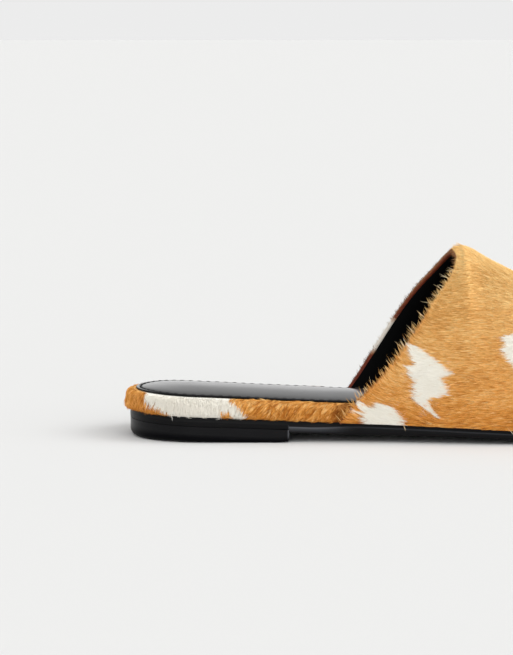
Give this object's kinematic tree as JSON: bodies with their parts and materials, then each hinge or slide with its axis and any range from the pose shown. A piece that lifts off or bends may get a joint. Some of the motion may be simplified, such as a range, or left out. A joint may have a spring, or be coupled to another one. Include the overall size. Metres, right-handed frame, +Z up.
{
  "type": "flat mule shoe",
  "caption": "Low flat mule for a right foot, with a closed vamp and footbed edge in cow-print calf hair, a padded black sock, a rubber outsole and a low heel block.",
  "frame": {"origin": "on the ground, at the middle of the shoe's length and width", "axes": "+X to the toe, +Y to the medial side (the big toe of a right foot), +Z up from the ground"},
  "size_m": [0.2584, 0.0834, 0.0772],
  "materials": {
    "calf_hair": "hair-on calf leather, tan with off-white patches, hair about 6 mm long and lying flat",
    "sock_leather": "smooth glossy black leather over a thin foam, stitched round its edge",
    "outsole_rubber": "black moulded rubber, satin",
    "heel_rubber": "black moulded rubber, satin"
  },
  "bodies": {
    "root": {"outsole": "outsole_rubber", "heel_block": "heel_rubber", "footbed": "calf_hair", "insock": "sock_leather", "upper": "calf_hair"}
  },
  "joints": []
}
